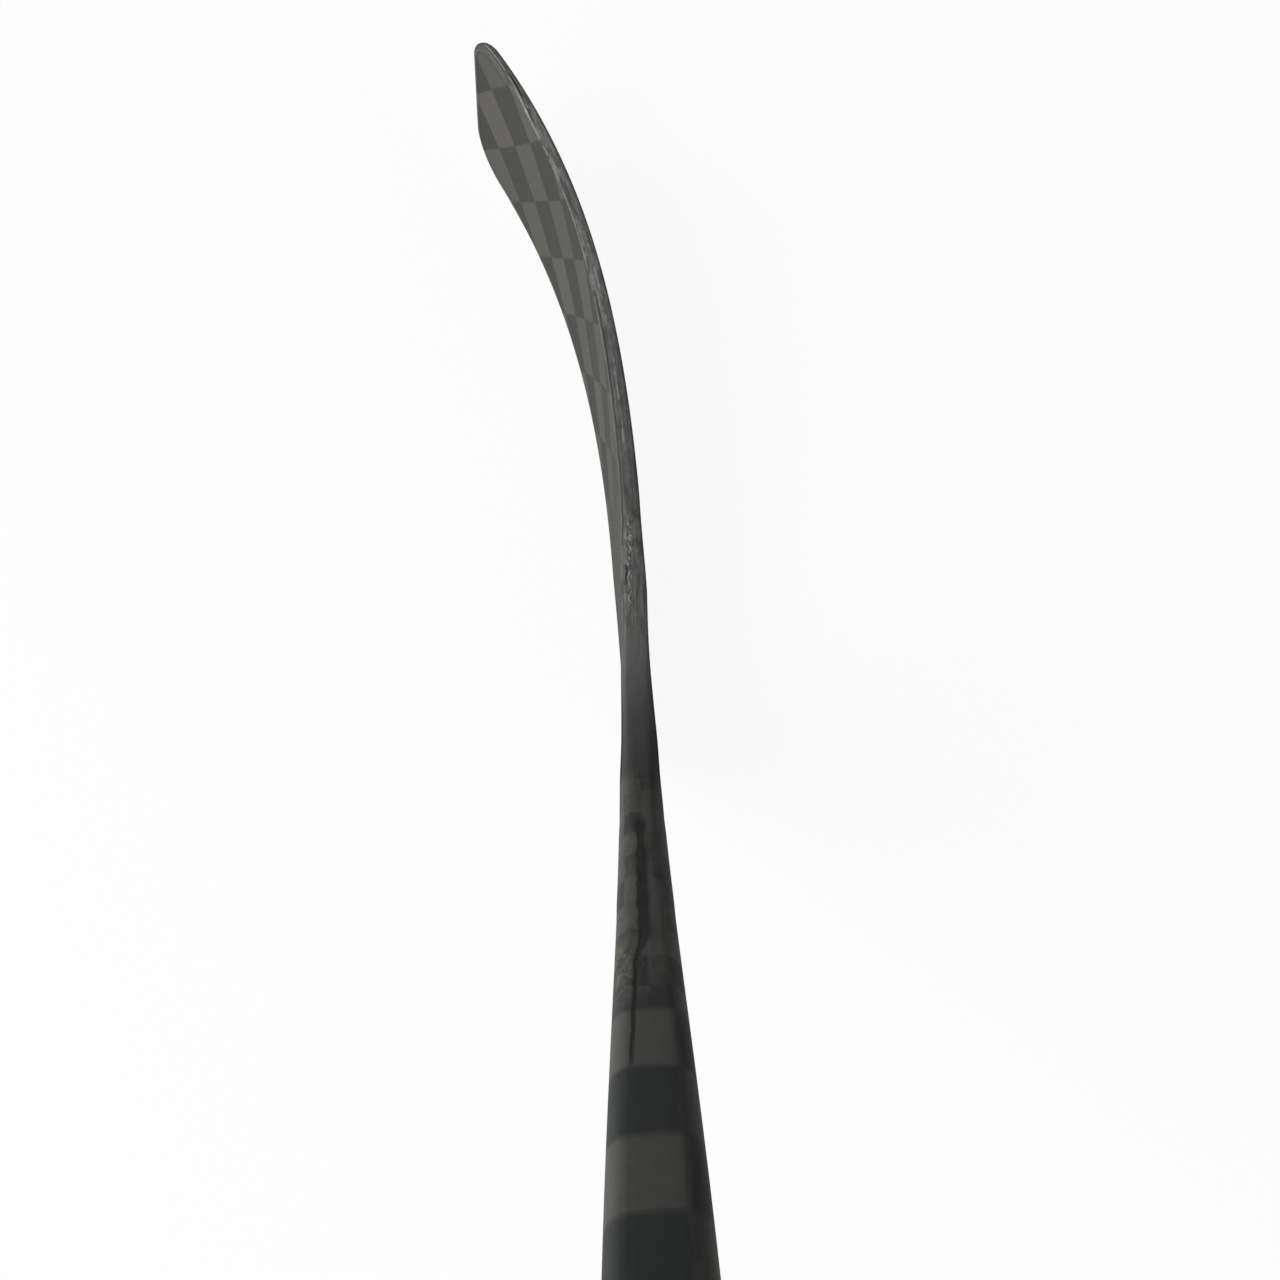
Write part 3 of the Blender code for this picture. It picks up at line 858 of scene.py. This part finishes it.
def plain_face(look, base):
    """Colour of the blade's faces near the heel, where no checks show."""
    cloud = look.noise(look.spot(), (60.0, 60.0, 60.0), detail=3.0)
    grain = look.noise(look.spot(), (8.0, 60.0, 130.0), detail=4.0, rough=0.6)
    return look.shaded(base, look.total(0.55, (grain, 0.6), (cloud, 0.3)))


def worn_edge(look, colour, roughness, height):
    """Lay bare resin over a rail's outer edge, and fine lines along its corners."""
    path, across = look.map("edge")
    toe = look.mark("toe")
    wander = look.noise((path, 8.0, 3.0), (0.7, 1.0, 1.0), detail=3.0)
    across = look.total(across, (toe, -TOE_MOVE), (look.centred(wander), -EDGE_WANDER))
    band = look.times(look.mark("band"), look.step(across, *BAND_START))
    bare, bare_rough, worn = resin(look, path, across)
    # Painted shade: the rails' checked sides turn a fifth darker towards the toe
    colour = look.tint(band, look.shaded(colour, look.total(1.0, (toe, -0.2))), bare)
    lips, groove = seam_lines(look, path, across)
    colour = look.tint(look.times(groove, 0.88), colour, GROOVE_DARK)
    colour = look.tint(look.times(lips, 0.75), colour, LIP_LIGHT)
    joint = look.times(look.line(across, *RAIL_JOINT_LINE), look.total(0.15, (toe, 0.6)))
    colour = look.tint(joint, colour, RAIL_JOINT)
    roughness = look.blend(band, roughness, bare_rough)
    height = look.blend(band, height, look.times(worn, 0.8))
    return colour, roughness, look.minus(look.plus(height, lips), groove)


def blade_look(name, with_edge):
    """Checks that fade into a plain heel; with_edge adds the rails' bare, worn edge."""
    look = Look(name)
    lay, streak, shade, edge = check_nodes(look, warp=0.06, soft=0.02)
    colour = look.tint(lay, BLADE_DARK, look.tint(shade, BLADE_BRIGHT, BLADE_WARM))
    level = look.total(0.80, (streak, 0.32))
    level = look.times(level, look.total(0.95, (shade, 0.10)))
    level = look.times(level, look.total(1.0, (edge, -0.12)))
    colour = look.shaded(colour, level)
    colour = look.tint(look.mark("plain"), colour, plain_face(look, BLADE_PLAIN))
    roughness = look.total(0.46, (streak, 0.12))
    height = look.total(0.0, (streak, 0.5), (edge, -0.4))
    if with_edge:
        colour, roughness, height = worn_edge(look, colour, roughness, height)
    return look.finish(colour, roughness, height, depth=0.00012, specular=0.25)


def shaft_look(name):
    """Checks that turn into patchy plies round the joint, with a dark resin run down the front."""
    look = Look(name)
    lay, streak, shade, edge = check_nodes(look, warp=0.16, soft=0.05)
    along, girth = look.map("length")
    cloud = look.noise((along, girth, 14.0), (16.0, 40.0, 1.0), detail=4.0, rough=0.65)
    level = look.total(0.70, (streak, 0.22), (cloud, 0.36))
    level = look.times(level, look.total(0.92, (shade, 0.16)))
    colour = look.shaded(look.tint(lay, SHAFT_DARK, SHAFT_BRIGHT), level)
    colour = look.tint(look.times(look.mark("messy"), 0.85), colour, plies(look, along, girth))
    run, rim = run_mark(look, along, girth)
    depth = look.noise((along, girth, 12.0), (11.0, 30.0, 1.0), detail=3.0, rough=0.6)
    colour = look.tint(look.times(run, look.total(0.45, (depth, 0.7))), colour, RUN_DARK)
    colour = look.tint(look.times(rim, 0.8), colour, RUN_RIM)
    roughness = look.blend(run, look.total(0.44, (streak, 0.14)), 0.26)
    height = look.total(0.0, (streak, 0.4), (edge, -0.2))
    return look.finish(colour, roughness, height, depth=0.00004, specular=0.22)


def hosel_look(name):
    """Dark plain neck that turns into patchy plies above and into bare resin below; its flanks carry
    painted shade.
    """
    look = Look(name)
    grain = look.noise(look.spot(), (120.0, 900.0, 120.0), detail=3.0, rough=0.6)
    cloud = look.noise(look.spot(), (45.0, 45.0, 45.0))
    level = look.total(0.72, (grain, 0.28), (cloud, 0.28))
    along, girth = look.map("length")
    path, across = look.map("edge")
    bare_top = look.mark("bare_top")
    bare, _, worn = resin(look, path, across)
    bare = look.tint(look.step(path, *NECK_FADE), bare, NECK_BARE)
    lip = look.times(look.line(across, *NECK_LIP_LINE), look.window(path, *NECK_LIP_SPAN))
    bare = look.tint(look.times(lip, 0.4), bare, NECK_LIP)
    top = look.tint(bare_top, look.shaded(NECK_TOP, level), bare)
    # Painted shade: the flanks take a far darker copy of the front's colour
    side = look.shaded(NECK_SIDE_PAINTED_SHADE, level)
    side = look.tint(look.mark("bare_side"), side, plain_face(look, HEEL_PLAIN))
    colour = look.tint(look.mark("band"), side, top)
    colour = look.tint(look.times(look.mark("ply"), 0.9), colour, plies(look, along, girth))
    roughness = look.total(0.48, (cloud, 0.12))
    height = look.total(grain, (worn, bare_top))
    return look.finish(colour, roughness, height, depth=0.00008, specular=0.13)


def rib_look(name):
    look = Look(name)
    grain = look.noise(look.spot(), (60.0, 900.0, 900.0), detail=3.0, rough=0.6)
    colour = look.shaded(RIB_CARBON, look.total(0.6, (grain, 0.7)))
    return look.finish(colour, look.total(0.4, (grain, 0.2)), grain, depth=0.0001, specular=0.3)


def plug_look(name):
    look = Look(name)
    pebble = look.noise(look.spot(), (2500.0, 2500.0, 2500.0))
    cloud = look.noise(look.spot(), (80.0, 80.0, 80.0))
    colour = look.shaded(PLUG_BLACK, look.total(0.7, (pebble, 0.25), (cloud, 0.35)))
    return look.finish(colour, look.total(0.45, (pebble, 0.2)), pebble, depth=0.00015, specular=0.4)


def foam_look(name):
    look = Look(name)
    sockets = {"Vector": look.spot(), "Scale": 1800.0}
    cells = look.put("ShaderNodeTexVoronoi", sockets).outputs["Distance"]
    colour = look.tint(look.step(cells, 0.1, 0.7), FOAM_LIGHT, FOAM_DARK)
    return look.finish(colour, look.total(0.7, (cells, 0.2)), cells, depth=0.0003, specular=0.3)


def rail_profile(x):
    """Half of a rail's section, from its inner side to the middle of its outer edge.

    Each point is its depth from the outer edge, its inset from the side and its share of bare edge.
    """
    half = thickness(x) / 2
    radius = edge_radius(x)
    points = [(RIM, 0.0, 0.0), ((RIM + radius + EDGE_CROWN) / 2, 0.0, 0.0)]
    curve = []
    for share in spread(0.0, 1.0, EDGE_STEPS + 1):
        angle = math.pi / 2 * share
        curve.append((radius * (1 - math.sin(angle)), radius * (1 - math.cos(angle)), share))
    for share in EDGE_SHARES:
        curve.append((0.0, radius + (half - radius) * share, 1.0))
    for depth, inset, bare in curve:
        points.append((depth + EDGE_CROWN * (1 - inset / half) ** 2, inset, bare))
    return points


def rail_piece(name, node, look, path, start, sense):
    """One edge rail: its sides carry the checks, its outer edge shows streaky resin.

    Its path is measured from the hosel, from start and up or down by its sense. The edge map
    runs across from the forehand corner, and below 0 down the forehand side.
    """
    rows = []
    checks = []
    edge = []
    marks = {"band": [], "plain": [], "toe": []}
    for (x, z, nx, nz), travelled in zip(path, travel(path)):
        profile = rail_profile(x)
        whole = [(*point, -1) for point in profile] + [(*point, 1) for point in profile[-2::-1]]
        whole.append(whole[0])
        half = thickness(x) / 2
        corner = profile[2][0]
        reach = (start + sense * travelled) / EDGE_UNIT
        row = []
        spots = []
        for depth, inset, _, side in whole:
            px = x + depth * nx
            off = side * (thickness(px) / 2 - inset)
            row.append((px, z + depth * nz, off))
            if inset > 0 or side < 0:
                spots.append((reach, (half - off) / EDGE_UNIT))
            else:
                spots.append((reach, -RAIL_SIDE * (depth - corner) / (RIM - corner)))
        rows.append([place(*point) for point in row])
        checks.append([blade_checks(px, pz) for px, pz, _ in row])
        edge.append(spots)
        marks["band"].append([bare for _, _, bare, _ in whole])
        marks["plain"].append([plainness(px) for px, _, _ in row])
        marks["toe"].append([smooth((px - TOE_FROM) / TOE_RUN) for px, _, _ in row])
    make_piece(name, node, look, rows, {"checks": checks, "edge": edge}, marks)


def skin_piece(name, node, look, side):
    """One face of the blade, between the rails."""
    turn = TOE - TOE_LOW_RADIUS
    last = TOE - RIM - SEAM
    stations = spread(HOSEL_END + SEAM, turn, FACE_STATIONS)[:-1]
    for angle in spread(0.0, math.pi / 2, FACE_TOE_STATIONS):
        stations.append(turn + (last - turn) * math.sin(angle))
    rows = []
    checks = []
    plain = []
    for x in stations:
        outside = side * thickness(x) / 2
        inside = side * (thickness(x) / 2 - SKIN)
        heights = spread(panel_bottom(x), panel_top(x), FACE_HEIGHTS)
        row = [(x, z, outside) for z in heights]
        row += [(x, heights[-1], inside), (x, heights[0], inside), row[0]]
        rows.append([place(*point) for point in row])
        checks.append([blade_checks(x, z) for _, z, _ in row])
        plain.append([plainness(x)] * len(row))
    make_piece(name, node, look, rows, {"checks": checks}, {"plain": plain})


def sleeve_piece(name, node, look, stations, outsides, inside):
    """A sleeve along the shaft, with an inset for each station outside and one for them all inside."""
    rows = []
    checks = []
    length = []
    messy = []
    stops = list(zip(stations, outsides)) + [(along, inside) for along in reversed(stations)]
    for along, inset in stops:
        row, girths = between(*shaft_section(along, inset))
        rows.append(row)
        checks.append([shaft_checks(along, girth) for girth in girths])
        length.append([(along / SHAFT_UNIT, girth / SHAFT_UNIT) for girth in girths])
        messy.append([smooth((SHAFT_PLIES_END - along) / SHAFT_PLIES_RUN)] * len(row))
    maps = {"checks": checks, "length": length}
    make_piece(name, node, look, rows, maps, {"messy": messy}, loop=True)


def make_shaft(look):
    butt = SHAFT_LENGTH - PLUG_HEAD - SEAM
    stations = spread(JOINT_ALONG, TAPER_END, TAPER_STATIONS)
    stations += spread(TAPER_END, butt, SHAFT_STATIONS)[1:]
    insets = [0.0] * len(stations)
    sleeve_piece("shaft", "shaft_tube", look, stations, insets, SHAFT_WALL)


def make_wrap(look):
    """Thin ply over the joint, thinned out towards its two ends."""
    start = NECK_ALONG + WRAP_ABOVE_NECK
    end = start + WRAP_LENGTH
    stations = spread(start, end, WRAP_STATIONS)
    insets = []
    for along in stations:
        nearest = min(along - start, end - along)
        insets.append(-WRAP_ENDS - WRAP_PLY * smooth(nearest / WRAP_THINNING))
    sleeve_piece("fuse_ply", "fuse_wrap", look, stations, insets, -WRAP_INSIDE)


def make_hosel(look):
    """Neck and heel of the blade, with a tenon in the shaft's bore."""
    inset = SHAFT_WALL + SEAM
    shoulder = JOINT_ALONG - SEAM
    tenon = spread(JOINT_ALONG + TENON_LENGTH, shoulder, TENON_STATIONS)
    neck = spread(shoulder, NECK_ALONG, NECK_STATIONS)[:-1]
    sections = [shaft_section(along, inset) for along in tenon]
    sections += [shaft_section(along, 0.0) for along in neck]
    sections += fan_sections()
    rows = []
    length = []
    edge = []
    marks = {"band": [], "bare_top": [], "bare_side": [], "ply": []}
    for bottom, top, width, radius, crown in sections:
        row, girths = between(bottom, top, width, radius, crown)
        along = -top[0] * COS_LIE + top[1] * SIN_LIE
        path = (top[0] - HOSEL_END) / EDGE_UNIT
        reach = max(girths)
        near = [min(abs(girth), reach - abs(girth)) for girth in girths]
        rows.append(row)
        length.append([(along / SHAFT_UNIT, girth / SHAFT_UNIT) for girth in girths])
        edge.append([(path, (width / 2 - girth) / EDGE_UNIT) for girth in girths])
        marks["band"].append([smooth((width / 2 - gap) / BAND_SOFT + 0.5) for gap in near])
        marks["bare_top"].append([smooth((top[0] - BARE_TOP_FROM) / BARE_TOP_RUN)] * len(row))
        marks["bare_side"].append([smooth((top[0] - BARE_SIDE_FROM) / BARE_SIDE_RUN)] * len(row))
        marks["ply"].append([smooth((along - NECK_PLIES_FROM) / NECK_PLIES_RUN)] * len(row))
    maps = {"length": length, "edge": edge}
    make_piece("hosel", "blade_hosel", look, rows, maps, marks)


def make_plug(look):
    """Plug with a rounded head on the shaft's end and a ribbed stem in its bore."""
    head = SHAFT_LENGTH - PLUG_HEAD
    rib = SHAFT_WALL + PLUG_PLAY
    core = rib + PLUG_RIB_DEPTH
    stops = [(SHAFT_LENGTH - PLUG_GAP - drop, inset) for drop, inset in PLUG_RIM]
    stops += [(head, PLUG_INSET), (head, core)]
    pitch = PLUG_STEM / PLUG_RIBS
    for index in range(PLUG_RIBS):
        middle = head - pitch * (index + 0.5)
        upper = middle + PLUG_RIB_HALF
        lower = middle - PLUG_RIB_HALF
        stops += [(upper, core), (upper, rib), (lower, rib), (lower, core)]
    stops.append((head - PLUG_STEM, core))
    rows = [between(*shaft_section(along, inset))[0] for along, inset in stops]
    make_piece("butt_plug", "end_plug", look, rows, {}, {})


def make_object():
    blade = blade_look("blade_weave", False)
    rails = blade_look("blade_edge", True)
    shaft = shaft_look("shaft_weave")
    make_shaft(shaft)
    make_wrap(shaft)
    make_hosel(hosel_look("neck_plain"))
    make_plug(plug_look("plug_moulded"))
    skin_piece("face_forehand", "forehand_skin", blade, 1)
    skin_piece("face_backhand", "backhand_skin", blade, -1)
    top = top_path()
    sole = sole_path()
    rail_piece("edge_top", "top_rail", rails, top, 0.0, 1)
    rail_piece("edge_toe", "toe_rail", rails, toe_path(), travel(top)[-1], 1)
    rail_piece("edge_sole", "sole_rail", rails, sole, travel(sole)[-1], -1)
    foam = foam_look("foam_cells")
    rib = rib_look("rib_plain")
    for node, look in (("upper_core", foam), ("lower_core", foam), ("centre_rib", rib)):
        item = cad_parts[node]
        item.data.materials.clear()
        item.data.materials.append(look)


def floor_look(name):
    """Pale to the light. To the camera it is mostly white, and the rest of it shows the shadow."""
    look = Look(name)
    rays = look.put("ShaderNodeLightPath").outputs
    camera = rays["Is Camera Ray"]
    mirrored = look.most(rays["Is Glossy Ray"], rays["Is Transmission Ray"])
    distance = look.put("ShaderNodeVectorMath", {0: look.spot()}, operation="LENGTH").outputs["Value"]
    white = look.times(camera, look.step(distance, *FLOOR_FADE))
    seen = look.most(white, look.times(mirrored, FLOOR_MIRRORED))
    look.feed(look.shader.inputs["Base Color"], look.tint(camera, FLOOR_LIT, FLOOR_SEEN))
    look.shader.inputs["Roughness"].default_value = FLOOR_ROUGHNESS
    look.shader.inputs["Specular IOR Level"].default_value = 0.0
    glow = look.put("ShaderNodeEmission", {"Color": WHITE, "Strength": 1.0})
    mixed = look.put("ShaderNodeMixShader", {0: seen, 1: look.shader.outputs[0], 2: glow.outputs[0]})
    look.feed(look.tree.nodes["Material Output"].inputs["Surface"], mixed.outputs[0])
    return look.material


def make_floor():
    """Round floor under the sole."""
    mesh = bpy.data.meshes.new("floor")
    shape = bmesh.new()
    bmesh.ops.create_circle(shape, cap_ends=True, segments=FLOOR_SEGMENTS, radius=FLOOR_RADIUS)
    shape.to_mesh(mesh)
    shape.free()
    mesh.materials.append(floor_look("floor_pale"))
    floor = bpy.data.objects.new("floor", mesh)
    floor.location = (FLOOR_X, 0.0, cad_box[0][2] - FLOOR_GAP)
    bpy.context.scene.collection.objects.link(floor)


def make_lamps():
    centre = Vector(to_world(LAMP_CENTRE))
    for name, spot, target, size, power in LAMPS:
        data = bpy.data.lights.new(name, "AREA")
        data.shape = "DISK"
        data.size = size
        data.energy = power
        lamp = bpy.data.objects.new(name, data)
        lamp.location = centre + Vector(spot)
        aim = Vector(target) - Vector(spot)
        lamp.rotation_euler = aim.to_track_quat("-Z", "Y").to_euler()
        bpy.context.scene.collection.objects.link(lamp)


def make_world():
    """Backdrop that is white to the camera and gives the stick a soft, even light."""
    world = bpy.data.worlds.new("studio")
    world.use_nodes = True
    nodes = Nodes(world.node_tree)
    rays = nodes.put("ShaderNodeLightPath").outputs
    seen = nodes.most(rays["Is Camera Ray"], rays["Is Transmission Ray"])
    white = nodes.most(seen, nodes.times(rays["Is Glossy Ray"], WORLD_MIRRORED))
    colour = nodes.tint(white, WORLD_LIGHT, WHITE)
    nodes.feed(nodes.tree.nodes["Background"].inputs["Color"], colour)
    bpy.context.scene.world = world


def make_camera():
    data = bpy.data.cameras.new("camera")
    data.sensor_width = CAMERA_SENSOR
    data.lens = CAMERA_LENS
    data.clip_start = CAMERA_NEAR
    camera = bpy.data.objects.new("camera", data)
    camera.location = CAMERA_PLACE
    camera.rotation_euler = Euler([math.radians(angle) for angle in CAMERA_TURN], "XYZ")
    bpy.context.scene.collection.objects.link(camera)
    bpy.context.scene.camera = camera


make_object()
make_floor()
make_lamps()
make_world()
make_camera()
bpy.context.scene.view_settings.view_transform = "Standard"
